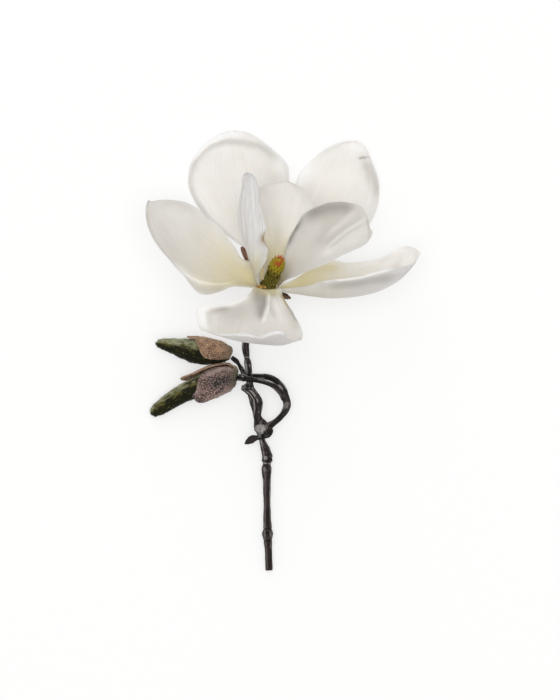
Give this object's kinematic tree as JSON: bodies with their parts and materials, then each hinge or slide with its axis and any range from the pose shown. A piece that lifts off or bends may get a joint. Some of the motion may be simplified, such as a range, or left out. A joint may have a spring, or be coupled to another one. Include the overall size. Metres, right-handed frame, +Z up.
{
  "type": "cut magnolia branch",
  "caption": "Cut magnolia branch lying on a surface, with an open ivory bloom, furry flower buds and a scarred dark stem.",
  "frame": {"origin": "on the surface that the branch lies on, under the middle of its bounding box", "axes": "+Y along the branch from its cut end to the crown of the bloom, +Z up out of the surface, +X to the right seen from above"},
  "size_m": [0.1566, 0.2574, 0.0867],
  "materials": {
    "bark": "dark brown-black bark with grey lenticels and ring scars",
    "leaf_bud_scales": "dark downy leaf bud",
    "bud_down": "olive-green, softly furred",
    "scale_tan": "dry tan-brown bud scale, furred",
    "scale_purple": "dark purplish brown, wrinkled and furred",
    "carpels": "waxy yellow-green carpels with orange-red style tips",
    "stamens": "dark olive stamens, yellow-brown at the foot",
    "tepal": "ivory, satin, lengthwise veins, yellow-green at the foot, lavender-grey outside",
    "bract": "dry reddish-brown bract, furred"
  },
  "bodies": {
    "root": {"branch": "bark", "leaf_bud": "leaf_bud_scales", "flower_bud_upper": "bud_down", "flower_bud_lower": "bud_down", "bud_scale_upper": "scale_tan", "bud_scale_lower_front": "scale_purple", "bud_scale_lower_back": "scale_tan", "cone": "carpels", "stamens": "stamens", "tepal_back_left": "tepal", "tepal_back_right": "tepal", "tepal_inner_back": "tepal", "tepal_inner_left": "tepal", "tepal_inner_right": "tepal", "tepal_right": "tepal", "tepal_front": "tepal", "tepal_left": "tepal", "bract_left": "bract", "bract_right": "bract"}
  },
  "joints": []
}
